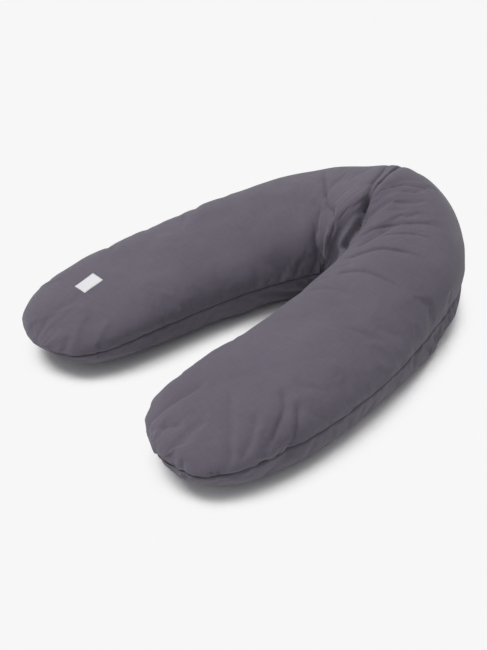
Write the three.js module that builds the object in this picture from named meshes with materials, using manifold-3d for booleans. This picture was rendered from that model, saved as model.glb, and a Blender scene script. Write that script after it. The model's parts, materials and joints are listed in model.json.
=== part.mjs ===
// A crescent nursing pillow: a zipped two-panel cover over a filled inner casing.
//
// Millimetres, +Z up. The origin is under the middle of the pillow, on the surface it lies on. The bend is
// towards +Y and both arms run towards -Y. The pillow is symmetric about the plane x = 0, where the two
// halves of the bend meet. Every soft layer is an inset copy of one parametric surface, so the layers
// follow each other with small even gaps.

import * as THREE from 'three';
import { mergeVertices } from 'three/addons/utils/BufferGeometryUtils.js';
import Module from 'manifold-3d';

// ---------------------------------------------------------------- driving dimensions

const PILLOW_WIDTH = 302;
const BEND_RADIUS = 160;
const BEND_HALF_ANGLE = THREE.MathUtils.degToRad(70.5);
const ARM_RADIUS = 1290;
const ARM_LENGTH = 660;

// Height of the top above the resting surface, along the centreline.
const BEND_HEIGHT = 256;
const ARM_HEIGHT = 158;
const TIP_HEIGHT = 141;
const BEND_HEIGHT_FADE = 430;
const ARM_TAPER_START = 300;

// Height of the perimeter seam.
const SEAM_HEIGHT_BEND = 115;
const SEAM_HEIGHT_ARM = 79;
const SEAM_HEIGHT_TIP = 70;
const SEAM_RISE_LENGTH = 205;

// Rounded end of each arm, and the shape of the cross-section.
const TIP_LENGTH = 290;
const TIP_PLAN_POWER = 3.1;
const TIP_PLAN_ROOT = 2.5;
const TIP_SIDE_POWER = 2.08;
const SECTION_POWER = 2.64;
const BOTTOM_FULLNESS = 1.22;

// Layers, from the outside in. Each depth is measured from the outer surface of the cover.
const COVER_THICKNESS = 0.8;
const LAYER_GAP = 0.4;
const CASING_THICKNESS = 0.6;
const CASING_SIDE_DEPTH = 6.2;
const SPLIT_GAP = 0.5;
const SEAM_GAP = 0.3;

// Zip in the outer edge of the left arm; lengths along the arm's centreline.
const ZIP_START = 215;
const ZIP_END = 575;
const ZIP_END_TAPER = 6;
const ZIP_OPENING_HALF = 5.5;
const COIL_END_MARGIN = 13;
const COIL_INNER = 0.7;
const COIL_OUTER = 3.2;
const COIL_THICKNESS = 2.2;
const TAPE_INNER = 1;
const TAPE_OUTER = 16;
const TAPE_DEPTH = 2.6;
const TAPE_THICKNESS = 0.5;
const STOP_LENGTH = 3;

const SLIDER_LENGTH = 11;
const SLIDER_WIDTH = 8.4;
const SLIDER_PLATE = 1;
const SLIDER_CLEARANCE = 0.4;
const SLIDER_INNER_CLEARANCE = 0.9;
const BAIL_HEIGHT = 3.7;
const BAIL_SPAN = 5;
const BAIL_RADIUS = 0.6;
const PULL_LENGTH = 27;
const PULL_WIDTH = 7;
const PULL_THICKNESS = 1.2;
const PULL_EYE_RADIUS = 1.8;

// Labels: distance along the centreline, and angle round the section from the outer seam.
const LABEL_LENGTH = 50;
const LABEL_WIDTH = 37;
const LABEL_THICKNESS = 0.5;
const LABEL_CLEARANCE = 0.3;
const LABEL_DISTANCE = 707;
const LABEL_SECTION_ANGLE = THREE.MathUtils.degToRad(85.8);
const CARE_LABEL_DISTANCE = 186;
const CARE_LABEL_WIDTH = 22;
const CARE_LABEL_HEIGHT = 34;
const CARE_LABEL_DROP = 20;
const CARE_LABEL_TURN = THREE.MathUtils.degToRad(8);

// Fineness of the soft layers.
const BEND_STEPS = 6;
const ZIP_STEPS = 8;
const TIP_STEPS = 7;
const TIP_CROWDING = 1.6;
const EVEN_STEPS = 8;
const ZIP_BAND_ANGLE = THREE.MathUtils.degToRad(8.2);

// ---------------------------------------------------------------- colours

const coverFabric = new THREE.MeshStandardMaterial({ color: 0x6a6470, roughness: 0.9, metalness: 0 });
const casingFabric = new THREE.MeshStandardMaterial({ color: 0xe6e2d8, roughness: 0.9, metalness: 0 });
const fibre = new THREE.MeshStandardMaterial({ color: 0xf3f2ee, roughness: 1, metalness: 0 });
const zipFabric = new THREE.MeshStandardMaterial({ color: 0x5c5763, roughness: 0.85, metalness: 0 });
const zipPlastic = new THREE.MeshStandardMaterial({ color: 0x57535d, roughness: 0.45, metalness: 0 });
const zipMetal = new THREE.MeshStandardMaterial({ color: 0x6b6872, roughness: 0.35, metalness: 0.9 });
const labelCloth = new THREE.MeshStandardMaterial({ color: 0xe9e9ea, roughness: 0.7, metalness: 0 });

// ---------------------------------------------------------------- the pillow's outer surface

const BEND_LENGTH = BEND_RADIUS * BEND_HALF_ANGLE;
const HALF_LENGTH = BEND_LENGTH + ARM_LENGTH;
const UP = new THREE.Vector3(0, 0, 1);

function ramp(value, start, end) {
  return THREE.MathUtils.clamp((value - start) / (end - start), 0, 1);
}

function smoothRamp(value, start, end) {
  return THREE.MathUtils.smoothstep(value, start, end);
}

// Point and heading of the right half's centreline: a tight arc for the bend, then a wide arc for the arm.
function centreline(distance) {
  const bendAngle = Math.min(distance, BEND_LENGTH) / BEND_RADIUS;
  const armAngle = Math.max(distance - BEND_LENGTH, 0) / ARM_RADIUS;
  const heading = bendAngle + armAngle;
  const x = BEND_RADIUS * Math.sin(bendAngle) + ARM_RADIUS * (Math.sin(heading) - Math.sin(bendAngle));
  const y = BEND_RADIUS * (Math.cos(bendAngle) - 1) + ARM_RADIUS * (Math.cos(heading) - Math.cos(bendAngle));
  return { x, y, heading };
}

function seamHeight(distance) {
  const rise = smoothRamp(distance, 0, SEAM_RISE_LENGTH);
  const drop = ramp(distance, ZIP_END, HALF_LENGTH) ** 2;
  const height = THREE.MathUtils.lerp(SEAM_HEIGHT_BEND, SEAM_HEIGHT_ARM, rise);
  return THREE.MathUtils.lerp(height, SEAM_HEIGHT_TIP, drop);
}

function topHeight(distance) {
  const fade = smoothRamp(distance, 0, BEND_HEIGHT_FADE);
  const taper = ramp(distance, ARM_TAPER_START, HALF_LENGTH) ** 2;
  const height = THREE.MathUtils.lerp(BEND_HEIGHT, ARM_HEIGHT, fade);
  return THREE.MathUtils.lerp(height, TIP_HEIGHT, taper);
}

// Signed power, which squares up an ellipse into a fuller section.
function fuller(value) {
  return Math.sign(value) * Math.abs(value) ** (2 / SECTION_POWER);
}

// A point of the right half's outer surface. Angle 0 is the outer seam, 90 degrees the crown and
// 180 degrees the inner seam; the underside is cut flat where it rests.
function surfacePoint(distance, angle) {
  const { x, y, heading } = centreline(distance);
  const intoTip = ramp(distance, HALF_LENGTH - TIP_LENGTH, HALF_LENGTH);
  const planScale = Math.max(1 - intoTip ** TIP_PLAN_POWER, 0) ** (1 / TIP_PLAN_ROOT);
  const sideScale = Math.sqrt(Math.max(1 - intoTip ** TIP_SIDE_POWER, 0));
  const across = (PILLOW_WIDTH / 2) * planScale * fuller(Math.cos(angle));
  const seam = seamHeight(distance);
  const lift = fuller(Math.sin(angle)) * sideScale;
  const reach = lift >= 0 ? topHeight(distance) - seam : seam * BOTTOM_FULLNESS;
  const z = Math.max(seam + lift * reach, 0);
  return new THREE.Vector3(x + Math.sin(heading) * across, y + Math.cos(heading) * across, z);
}

// The middle of the pillow's depth, which becomes y = 0.
function depthMiddle() {
  let lowest = Infinity;
  for (let step = 0; step <= 400; step += 1) {
    const distance = THREE.MathUtils.lerp(HALF_LENGTH - TIP_LENGTH, HALF_LENGTH, step / 400);
    lowest = Math.min(lowest, surfacePoint(distance, 0).y, surfacePoint(distance, Math.PI).y);
  }
  return (PILLOW_WIDTH / 2 + lowest) / 2;
}

const DEPTH_MIDDLE = depthMiddle();

// ---------------------------------------------------------------- stations along, angles around

// Section angles that cut one panel into even widths, with a narrow band by the outer seam for the zip.
function panelAngles() {
  const samples = 600;
  const lengths = [0];
  let last = new THREE.Vector2(PILLOW_WIDTH / 2, 0);
  for (let sample = 1; sample <= samples; sample += 1) {
    const angle = (Math.PI * sample) / samples;
    const across = (PILLOW_WIDTH / 2) * fuller(Math.cos(angle));
    const point = new THREE.Vector2(across, SEAM_HEIGHT_ARM * fuller(Math.sin(angle)));
    lengths.push(lengths[sample - 1] + point.distanceTo(last));
    last = point;
  }
  const angles = [0, ZIP_BAND_ANGLE];
  for (let step = 1; step <= EVEN_STEPS; step += 1) {
    const wanted = (lengths[samples] * step) / EVEN_STEPS;
    const sample = lengths.findIndex((length) => length >= wanted - 1e-9);
    angles.push((Math.PI * sample) / samples);
  }
  return angles;
}

function stationDistances() {
  const stations = [];
  for (let step = 0; step < BEND_STEPS; step += 1) {
    stations.push((ZIP_START * step) / BEND_STEPS);
  }
  stations.push(ZIP_START);
  for (let step = 0; step <= ZIP_STEPS; step += 1) {
    const start = ZIP_START + ZIP_END_TAPER;
    stations.push(THREE.MathUtils.lerp(start, ZIP_END - ZIP_END_TAPER, step / ZIP_STEPS));
  }
  for (let step = 0; step <= TIP_STEPS; step += 1) {
    const left = (1 - step / TIP_STEPS) ** TIP_CROWDING;
    stations.push(HALF_LENGTH - (HALF_LENGTH - ZIP_END) * left);
  }
  return stations;
}

const STATIONS = stationDistances();
const TOP_ANGLES = panelAngles();
const PANEL_STEPS = TOP_ANGLES.length - 1;
const RING_ANGLES = [
  ...TOP_ANGLES.slice(0, PANEL_STEPS),
  ...TOP_ANGLES.slice(1).reverse().map((angle) => 2 * Math.PI - angle),
];
const RING_SIZE = RING_ANGLES.length;

const SURFACE = STATIONS.map((distance) => RING_ANGLES.map((angle) => surfacePoint(distance, angle)));

// Outward direction at each vertex, averaged over the facets around it.
function surfaceNormals() {
  const lastRow = STATIONS.length - 1;
  return SURFACE.map((ring, row) => {
    const { heading } = centreline(STATIONS[row]);
    return ring.map((point, column) => {
      if (row === lastRow) {
        return new THREE.Vector3(Math.cos(heading), -Math.sin(heading), 0);
      }
      const along = SURFACE[row + 1][column].clone().sub(SURFACE[Math.max(row - 1, 0)][column]);
      const next = ring[(column + 1) % RING_SIZE];
      const previous = ring[(column + RING_SIZE - 1) % RING_SIZE];
      const around = next.clone().sub(previous);
      const normal = around.cross(along);
      if (row === 0) {
        normal.x = 0;
      }
      return normal.normalize();
    });
  });
}

const NORMALS = surfaceNormals();

// A vertex moved in by a depth. Side depth applies at the seams and shallow depth at the crown and base.
function insetPoint(row, column, shallow, side) {
  const isTip = row === STATIONS.length - 1;
  const sideness = isTip ? 1 : Math.abs(Math.cos(RING_ANGLES[column])) ** 3;
  const depth = THREE.MathUtils.lerp(shallow, side, sideness);
  const point = SURFACE[row][column].clone().addScaledVector(NORMALS[row][column], -depth);
  if (row === 0) {
    point.x = SPLIT_GAP / 2;
  }
  return point;
}

function insetRing(row, shallow, side) {
  return RING_ANGLES.map((angle, column) => insetPoint(row, column, shallow, side));
}

// ---------------------------------------------------------------- solids from rings

// Skin over a list of rings with strip caps at both ends. Rings may shrink to a point or a line.
// From the ring position mirrorFrom on, facets are split the other way, to match the opposite layer.
function sweptSolid(rings, mirrorFrom = Infinity) {
  const size = rings[0].length;
  const points = [];
  const corner = (a, b, c) => {
    if (a.distanceTo(b) > 0.01 && b.distanceTo(c) > 0.01 && c.distanceTo(a) > 0.01) {
      points.push(a, b, c);
    }
  };
  for (let row = 0; row < rings.length - 1; row += 1) {
    for (let k = 0; k < size; k += 1) {
      const next = (k + 1) % size;
      const [a, b] = [rings[row][k], rings[row][next]];
      const [d, c] = [rings[row + 1][k], rings[row + 1][next]];
      if (k < mirrorFrom) {
        corner(a, c, b);
        corner(a, d, c);
      } else {
        corner(a, d, b);
        corner(b, d, c);
      }
    }
  }
  for (const [ring, isStart] of [[rings[0], true], [rings[rings.length - 1], false]]) {
    for (let k = 0; k < size / 2 - 1; k += 1) {
      const quad = [ring[k], ring[k + 1], ring[size - 2 - k], ring[size - 1 - k]];
      if (!isStart) {
        quad.reverse();
      }
      corner(quad[0], quad[1], quad[2]);
      corner(quad[0], quad[2], quad[3]);
    }
  }
  return facingOut(new THREE.BufferGeometry().setFromPoints(points));
}

function signedVolume(geometry) {
  const position = geometry.getAttribute('position');
  const [a, b, c] = [new THREE.Vector3(), new THREE.Vector3(), new THREE.Vector3()];
  let volume = 0;
  for (let index = 0; index < position.count; index += 3) {
    a.fromBufferAttribute(position, index);
    b.fromBufferAttribute(position, index + 1);
    c.fromBufferAttribute(position, index + 2);
    volume += a.dot(b.cross(c)) / 6;
  }
  return volume;
}

function reversed(geometry) {
  const position = geometry.getAttribute('position');
  const points = [];
  for (let index = 0; index < position.count; index += 3) {
    for (const offset of [0, 2, 1]) {
      points.push(new THREE.Vector3().fromBufferAttribute(position, index + offset));
    }
  }
  return new THREE.BufferGeometry().setFromPoints(points);
}

function facingOut(geometry) {
  return signedVolume(geometry) < 0 ? reversed(geometry) : geometry;
}

// The left half is the right half's mirror image, and both are shifted so that y = 0 is mid-depth.
function placed(point, isLeft) {
  return new THREE.Vector3(isLeft ? -point.x : point.x, point.y - DEPTH_MIDDLE, point.z);
}

// ---------------------------------------------------------------- cover, casing and filling

const CASING_DEPTH = COVER_THICKNESS + LAYER_GAP;

function slid(row, column, towards, amount) {
  const edge = SURFACE[row][column];
  const facet = SURFACE[row][towards].distanceTo(edge);
  return facet > amount ? amount / facet : 0;
}

// How far a panel's edge stays back from the seam line.
function edgeSetback(distance, isZipEdge) {
  const isOpen = distance > ZIP_START + 1 && distance < ZIP_END - 1;
  return isZipEdge && isOpen ? ZIP_OPENING_HALF : SEAM_GAP / 2;
}

// One panel of a cover or casing: the upper or lower half of the surface, as a thin closed shell.
function panelShell({ isTop, isLeft, depth, sideDepth, thickness, hasZip }) {
  const columns = [];
  for (let step = 0; step <= PANEL_STEPS; step += 1) {
    columns.push((step + (isTop ? 0 : PANEL_STEPS)) % RING_SIZE);
  }
  const zipColumn = isTop ? 0 : PANEL_STEPS;
  const rings = STATIONS.map((distance, row) => {
    const isTip = row === STATIONS.length - 1;
    const layer = (extra) => columns.map((column, step) => {
      const point = insetPoint(row, column, depth + extra, sideDepth + extra);
      if (isTip) {
        point.z += (isTop ? 1 : -1) * (SEAM_GAP / 2);
        return point;
      }
      if (step !== 0 && step !== PANEL_STEPS) {
        return point;
      }
      const neighbour = columns[step === 0 ? 1 : PANEL_STEPS - 1];
      const setback = edgeSetback(distance, hasZip && step === zipColumn);
      const share = slid(row, column, neighbour, setback);
      return point.lerp(insetPoint(row, neighbour, depth + extra, sideDepth + extra), share);
    });
    return [...layer(0), ...layer(thickness).reverse()].map((point) => placed(point, isLeft));
  });
  return sweptSolid(rings, PANEL_STEPS + 1);
}

function fillingSolid(isLeft) {
  const depth = CASING_DEPTH + CASING_THICKNESS + LAYER_GAP;
  const sideDepth = CASING_SIDE_DEPTH + CASING_THICKNESS + LAYER_GAP;
  const rings = STATIONS.map((distance, row) => {
    return insetRing(row, depth, sideDepth).map((point) => placed(point, isLeft));
  });
  return sweptSolid(rings);
}

// ---------------------------------------------------------------- zip

// A point near the left arm's outer seam line: height along the wall from the seam, and depth into it.
// It follows the same facets as the cover.
function zipPoint(distance, height, depth) {
  const row = Math.max(STATIONS.findIndex((station) => station > distance) - 1, 0);
  const share = ramp(distance, STATIONS[row], STATIONS[row + 1]);
  const neighbour = height >= 0 ? 1 : RING_SIZE - 1;
  const onRow = (index) => {
    const start = insetPoint(index, 0, depth, depth);
    const end = insetPoint(index, neighbour, depth, depth);
    return start.lerp(end, slid(index, 0, neighbour, Math.abs(height)));
  };
  return placed(onRow(row).lerp(onRow(row + 1), share), true);
}

// A strip along the zip with a rectangular section between two heights and two depths.
function zipStrip(start, end, heights, depths) {
  const inside = STATIONS.filter((station) => station > start + 1 && station < end - 1);
  const rings = [start, ...inside, end].map((distance) => [
    zipPoint(distance, heights[0], depths[0]),
    zipPoint(distance, heights[1], depths[0]),
    zipPoint(distance, heights[1], depths[1]),
    zipPoint(distance, heights[0], depths[1]),
  ]);
  return sweptSolid(rings);
}

// Local frame on the left arm's outer seam line: x towards the tip, y up, z out of the pillow.
function zipFrame(distance) {
  const { heading } = centreline(distance);
  const along = new THREE.Vector3(-Math.cos(heading), -Math.sin(heading), 0);
  const out = new THREE.Vector3(-Math.sin(heading), Math.cos(heading), 0);
  const frame = new THREE.Matrix4().makeBasis(along, UP, out);
  return frame.setPosition(placed(surfacePoint(distance, 0), true));
}

const wasm = await Module();
wasm.setup();

function toSolid(geometry) {
  const bare = geometry.clone();
  bare.deleteAttribute('normal');
  bare.deleteAttribute('uv');
  const merged = mergeVertices(bare, 1e-4);
  return new wasm.Manifold(new wasm.Mesh({
    numProp: 3,
    vertProperties: new Float32Array(merged.getAttribute('position').array),
    triVerts: new Uint32Array(merged.getIndex().array),
  }));
}

function toGeometry(solid) {
  const result = solid.getMesh();
  const geometry = new THREE.BufferGeometry();
  geometry.setAttribute('position', new THREE.BufferAttribute(result.vertProperties, result.numProp));
  geometry.setIndex(new THREE.BufferAttribute(result.triVerts, 1));
  return geometry;
}

// Flat plate with rounded ends, lying in x and y, between two heights in z.
function roundedPlate(length, width, bottom, top, cornerRadius) {
  const outline = new THREE.Shape();
  const [halfLength, halfWidth] = [length / 2, width / 2];
  const corners = [
    [halfLength, halfWidth, 0],
    [-halfLength, halfWidth, 1],
    [-halfLength, -halfWidth, 2],
    [halfLength, -halfWidth, 3],
  ];
  for (const [x, y, quarter] of corners) {
    const centreX = x - Math.sign(x) * cornerRadius;
    const centreY = y - Math.sign(y) * cornerRadius;
    const start = (quarter * Math.PI) / 2;
    outline.absarc(centreX, centreY, cornerRadius, start, start + Math.PI / 2, false);
  }
  const options = { depth: top - bottom, bevelEnabled: false, curveSegments: 4 };
  return new THREE.ExtrudeGeometry(outline, options).translate(0, 0, bottom);
}

function barAcross(radius, length, height, sides) {
  return new THREE.CylinderGeometry(radius, radius, length, sides).translate(0, 0, height);
}

// Two plates joined by a neck that runs between the coils, with a bail bar over the outer plate.
function sliderGeometry() {
  const outerTop = SLIDER_CLEARANCE + SLIDER_PLATE;
  const innerTop = -(TAPE_DEPTH + TAPE_THICKNESS + SLIDER_INNER_CLEARANCE);
  const outerPlate = roundedPlate(SLIDER_LENGTH, SLIDER_WIDTH, SLIDER_CLEARANCE, outerTop, 3);
  const innerPlate = roundedPlate(SLIDER_LENGTH, SLIDER_WIDTH, innerTop - SLIDER_PLATE, innerTop, 3);
  const neckHeight = SLIDER_CLEARANCE - innerTop + SLIDER_PLATE;
  const neck = new THREE.BoxGeometry(3, 2 * (COIL_INNER - 0.25), neckHeight);
  neck.translate(-3, 0, (SLIDER_CLEARANCE + innerTop) / 2);
  let solid = toSolid(outerPlate).add(toSolid(innerPlate)).add(toSolid(neck));
  for (const side of [-1, 1]) {
    const post = new THREE.BoxGeometry(2 * BAIL_RADIUS + 0.6, 1, BAIL_HEIGHT + BAIL_RADIUS - outerTop + 0.5);
    const middle = (BAIL_HEIGHT + BAIL_RADIUS + outerTop - 0.5) / 2;
    post.translate(0, side * (BAIL_SPAN / 2 - 0.5), middle);
    solid = solid.add(toSolid(post));
  }
  return toGeometry(solid.add(toSolid(barAcross(BAIL_RADIUS, BAIL_SPAN - 0.4, BAIL_HEIGHT, 12))));
}

// An eye round the bail bar and a flat tab that lies along the chain.
function pullGeometry() {
  const eyeWidth = BAIL_SPAN - 2.8;
  const eye = toSolid(barAcross(PULL_EYE_RADIUS, eyeWidth, BAIL_HEIGHT, 16));
  const neckLength = 6;
  const neck = new THREE.BoxGeometry(neckLength, eyeWidth, PULL_THICKNESS);
  neck.translate(neckLength / 2 + 0.6, 0, BAIL_HEIGHT);
  const tabLength = PULL_LENGTH - neckLength;
  const bottom = BAIL_HEIGHT - PULL_THICKNESS / 2;
  const tab = roundedPlate(tabLength, PULL_WIDTH, bottom, bottom + PULL_THICKNESS, 2.5);
  tab.translate(neckLength + tabLength / 2, 0, 0);
  const bore = toSolid(barAcross(BAIL_RADIUS + 0.35, BAIL_SPAN, BAIL_HEIGHT, 16));
  return toGeometry(eye.add(toSolid(neck)).add(toSolid(tab)).subtract(bore));
}

// ---------------------------------------------------------------- labels

// Local frame of a flat patch laid on the left half, just clear of the surface: x along the arm, z out.
function patchFrame(distance, angle, clearance) {
  const small = 0.01;
  const at = placed(surfacePoint(distance, angle), true);
  const along = placed(surfacePoint(distance + 1, angle), true).sub(at).normalize();
  const around = placed(surfacePoint(distance, angle + small), true).sub(at).normalize();
  const out = along.clone().cross(around).normalize();
  if (out.z < 0) {
    out.negate();
  }
  const across = out.clone().cross(along);
  const frame = new THREE.Matrix4().makeBasis(along, across, out);
  return frame.setPosition(at.addScaledVector(out, clearance));
}

function labelGeometry() {
  return roundedPlate(LABEL_LENGTH, LABEL_WIDTH, 0, LABEL_THICKNESS, 1);
}

function careLabelGeometry() {
  const plate = roundedPlate(CARE_LABEL_WIDTH, CARE_LABEL_HEIGHT, 0, LABEL_THICKNESS, 1);
  return plate.rotateZ(CARE_LABEL_TURN);
}

// ---------------------------------------------------------------- assembly

const pillow = new THREE.Group();

function addPart(name, geometry, material, matrix) {
  const mesh = new THREE.Mesh(geometry, material);
  mesh.name = name;
  if (matrix) {
    mesh.applyMatrix4(matrix);
  }
  pillow.add(mesh);
}

for (const isLeft of [true, false]) {
  const half = isLeft ? 'left' : 'right';
  for (const isTop of [true, false]) {
    const panel = isTop ? 'top' : 'bottom';
    const cover = {
      isTop, isLeft, depth: 0, sideDepth: 0, thickness: COVER_THICKNESS, hasZip: isLeft,
    };
    const casing = {
      isTop, isLeft, depth: CASING_DEPTH, sideDepth: CASING_SIDE_DEPTH, thickness: CASING_THICKNESS,
      hasZip: false,
    };
    addPart(`cover_${panel}_${half}`, panelShell(cover), coverFabric);
    addPart(`casing_${panel}_${half}`, panelShell(casing), casingFabric);
  }
  addPart(`filling_${half}`, fillingSolid(isLeft), fibre);
}

const coilStart = ZIP_START + COIL_END_MARGIN;
const coilEnd = ZIP_END - COIL_END_MARGIN;
for (const [name, side] of [['upper', 1], ['lower', -1]]) {
  const tapeHeights = [side * TAPE_INNER, side * TAPE_OUTER];
  const coilHeights = [side * COIL_INNER, side * COIL_OUTER];
  const tapeDepths = [TAPE_DEPTH, TAPE_DEPTH + TAPE_THICKNESS];
  addPart(`zip_tape_${name}`, zipStrip(ZIP_START, ZIP_END, tapeHeights, tapeDepths), zipFabric);
  addPart(`zip_coil_${name}`, zipStrip(coilStart, coilEnd, coilHeights, [0, COIL_THICKNESS]), zipPlastic);
  const stopStart = coilStart - 0.4 - STOP_LENGTH;
  const stop = zipStrip(stopStart, stopStart + STOP_LENGTH, coilHeights, [-0.3, COIL_THICKNESS]);
  addPart(`zip_top_stop_${name}`, stop, zipMetal);
}
const bottomStop = [coilEnd + 0.4, coilEnd + 0.4 + STOP_LENGTH];
const bottomStopStrip = zipStrip(...bottomStop, [-COIL_OUTER, COIL_OUTER], [-0.3, COIL_THICKNESS]);
addPart('zip_bottom_stop', bottomStopStrip, zipMetal);

const sliderRest = zipFrame(coilStart + SLIDER_LENGTH / 2 + 1);
addPart('zip_slider', sliderGeometry(), zipMetal, sliderRest);
addPart('zip_pull', pullGeometry(), zipMetal, sliderRest);

const labelFrame = patchFrame(LABEL_DISTANCE, LABEL_SECTION_ANGLE, LABEL_CLEARANCE);
addPart('brand_label', labelGeometry(), labelCloth, labelFrame);
const careLabelFrame = zipFrame(CARE_LABEL_DISTANCE);
careLabelFrame.multiply(new THREE.Matrix4().makeTranslation(0, -CARE_LABEL_DROP, 1));
addPart('care_label', careLabelGeometry(), labelCloth, careLabelFrame);

export default pillow;
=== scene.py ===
"""A crescent nursing pillow: its looks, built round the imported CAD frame.

Metres, +Z up, in the frame of the CAD model. The cover, the casing and the filling all come from one
parametric surface. A point on it has a distance along the pillow from the middle of the bend, negative on
the left arm, and an arc length across the upper or the lower panel, from the outer seam to the inner seam.
"""

import json
import math

import bmesh
import bpy
import numpy as np
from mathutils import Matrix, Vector

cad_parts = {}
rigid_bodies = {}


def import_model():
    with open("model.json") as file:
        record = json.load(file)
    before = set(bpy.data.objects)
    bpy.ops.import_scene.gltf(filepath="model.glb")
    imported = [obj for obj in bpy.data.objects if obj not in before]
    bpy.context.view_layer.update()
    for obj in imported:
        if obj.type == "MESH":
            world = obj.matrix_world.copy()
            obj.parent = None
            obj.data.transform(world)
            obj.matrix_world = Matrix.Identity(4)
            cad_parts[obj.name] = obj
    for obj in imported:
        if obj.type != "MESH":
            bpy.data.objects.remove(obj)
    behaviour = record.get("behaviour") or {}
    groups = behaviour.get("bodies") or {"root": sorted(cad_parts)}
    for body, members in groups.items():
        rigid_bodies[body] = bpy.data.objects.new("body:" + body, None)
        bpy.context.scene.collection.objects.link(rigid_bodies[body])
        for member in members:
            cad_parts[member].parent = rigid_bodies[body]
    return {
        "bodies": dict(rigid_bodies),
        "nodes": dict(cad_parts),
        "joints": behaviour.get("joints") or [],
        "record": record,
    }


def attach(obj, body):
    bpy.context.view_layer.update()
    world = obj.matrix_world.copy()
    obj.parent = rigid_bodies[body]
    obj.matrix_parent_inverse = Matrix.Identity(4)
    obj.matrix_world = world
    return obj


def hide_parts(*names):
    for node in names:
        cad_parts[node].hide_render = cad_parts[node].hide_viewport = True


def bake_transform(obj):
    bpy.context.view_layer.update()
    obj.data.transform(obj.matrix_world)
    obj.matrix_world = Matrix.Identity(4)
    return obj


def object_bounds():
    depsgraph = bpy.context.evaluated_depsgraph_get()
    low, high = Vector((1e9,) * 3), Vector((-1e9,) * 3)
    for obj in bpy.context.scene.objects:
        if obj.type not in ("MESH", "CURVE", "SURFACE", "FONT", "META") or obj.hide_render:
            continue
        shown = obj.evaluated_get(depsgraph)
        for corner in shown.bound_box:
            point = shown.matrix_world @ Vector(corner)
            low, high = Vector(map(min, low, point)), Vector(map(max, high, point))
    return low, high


# ---------------------------------------------------------------- driving dimensions

PILLOW_WIDTH = 0.302
BEND_RADIUS = 0.160
BEND_HALF_ANGLE = math.radians(70.5)
ARM_RADIUS = 1.290
ARM_LENGTH = 0.660
BEND_LENGTH = BEND_RADIUS * BEND_HALF_ANGLE
HALF_LENGTH = BEND_LENGTH + ARM_LENGTH

BEND_HEIGHT = 0.256
ARM_HEIGHT = 0.158
TIP_HEIGHT = 0.141
BEND_HEIGHT_FADE = 0.430
ARM_TAPER_START = 0.300

SEAM_HEIGHT_BEND = 0.115
SEAM_HEIGHT_ARM = 0.079
SEAM_HEIGHT_TIP = 0.070
SEAM_RISE_LENGTH = 0.205

TIP_LENGTH = 0.290
TIP_PLAN_POWER = 3.1
TIP_PLAN_ROOT = 2.5
TIP_SIDE_POWER = 2.08
SECTION_POWER = 2.64
BOTTOM_FULLNESS = 1.22

# The cut panels are a gentler crescent than the folded pillow: this share of the bend is sewn in.
PATTERN_BEND_SHARE = 0.90

COVER_THICKNESS = 0.0008
CASING_THICKNESS = 0.0006
CASING_DEPTH = 0.0045
FILLING_DEPTH = 0.0075
SEAM_GROOVE_DEPTH = 0.0027
SEAM_GROOVE_WIDTH = 0.0022

# Zip in the outer edge of the left arm: distances along the arm, heights above the seam, depths below it.
ZIP_START = 0.215
ZIP_END = 0.575
ZIP_OPENING_HALF = 0.0055
ZIP_TAPER = 0.006
ZIP_COIL_START = 0.228
ZIP_COIL_END = 0.562
ZIP_COIL_PITCH = 0.0013
ZIP_COIL_WIRE = 0.00034
ZIP_COIL_HEIGHTS = (-0.0002, 0.0031)
ZIP_COIL_DEPTHS = (0.0009, 0.0026)
ZIP_THREAD = 0.00028

BRAND_LABEL_SIZE = (0.050, 0.037)
BRAND_LABEL_DISTANCE = 0.707
BRAND_LABEL_ANGLE = math.radians(85.8)
CARE_LABEL_SIZE = (0.022, 0.034)
CARE_LABEL_DISTANCE = 0.186
LABEL_THICKNESS = 0.0005
LABEL_THREAD = 0.00022
LABEL_ROWS, LABEL_COLUMNS = 27, 21

# Row spacing of the simulated cloth and of the finished cover, and columns beside a seam.
CLOTH_STEP = 0.0085
CLOTH_COLUMNS = 44
DRIFT_LIMIT = 0.013
ARM_STEP = 0.0040
BEND_STEP = 0.0021
COLUMN_STEP = 0.0036
SEAM_COLUMNS = (0.0, 0.0008, 0.0018, 0.0030, 0.0046, 0.0066, 0.0092, 0.0126)

RANDOM = np.random.default_rng(7)


# ---------------------------------------------------------------- the pillow's surface


def ramp(value, start, end):
    return np.clip((value - start) / (end - start), 0.0, 1.0)


def smooth_ramp(value, start, end):
    share = ramp(value, start, end)
    return share * share * (3.0 - 2.0 * share)


def mix(first, second, share):
    return first * (1.0 - share) + second * share


def fuller(value):
    """Signed power, which squares up an ellipse into a fuller section."""
    return np.sign(value) * np.abs(value) ** (2.0 / SECTION_POWER)


def centreline(distance, bend_share):
    """Point and heading on the right half's centreline: a tight arc, then the arm's wide arc.

    A bend share under 1 opens the bend and keeps the length of the outer seam.
    """
    radius = (BEND_RADIUS + PILLOW_WIDTH / 2 * (1.0 - bend_share)) / bend_share
    bend = bend_share * np.minimum(distance, BEND_LENGTH) / BEND_RADIUS
    heading = bend + np.maximum(distance - BEND_LENGTH, 0.0) / ARM_RADIUS
    x = radius * np.sin(bend) + ARM_RADIUS * (np.sin(heading) - np.sin(bend))
    y = radius * (np.cos(bend) - 1.0) + ARM_RADIUS * (np.cos(heading) - np.cos(bend))
    return x, y, heading


def seam_height(distance):
    rise = smooth_ramp(distance, 0.0, SEAM_RISE_LENGTH)
    drop = ramp(distance, ZIP_END, HALF_LENGTH) ** 2
    return mix(mix(SEAM_HEIGHT_BEND, SEAM_HEIGHT_ARM, rise), SEAM_HEIGHT_TIP, drop)


def top_height(distance):
    fade = smooth_ramp(distance, 0.0, BEND_HEIGHT_FADE)
    taper = ramp(distance, ARM_TAPER_START, HALF_LENGTH) ** 2
    return mix(mix(BEND_HEIGHT, ARM_HEIGHT, fade), TIP_HEIGHT, taper)


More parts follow.
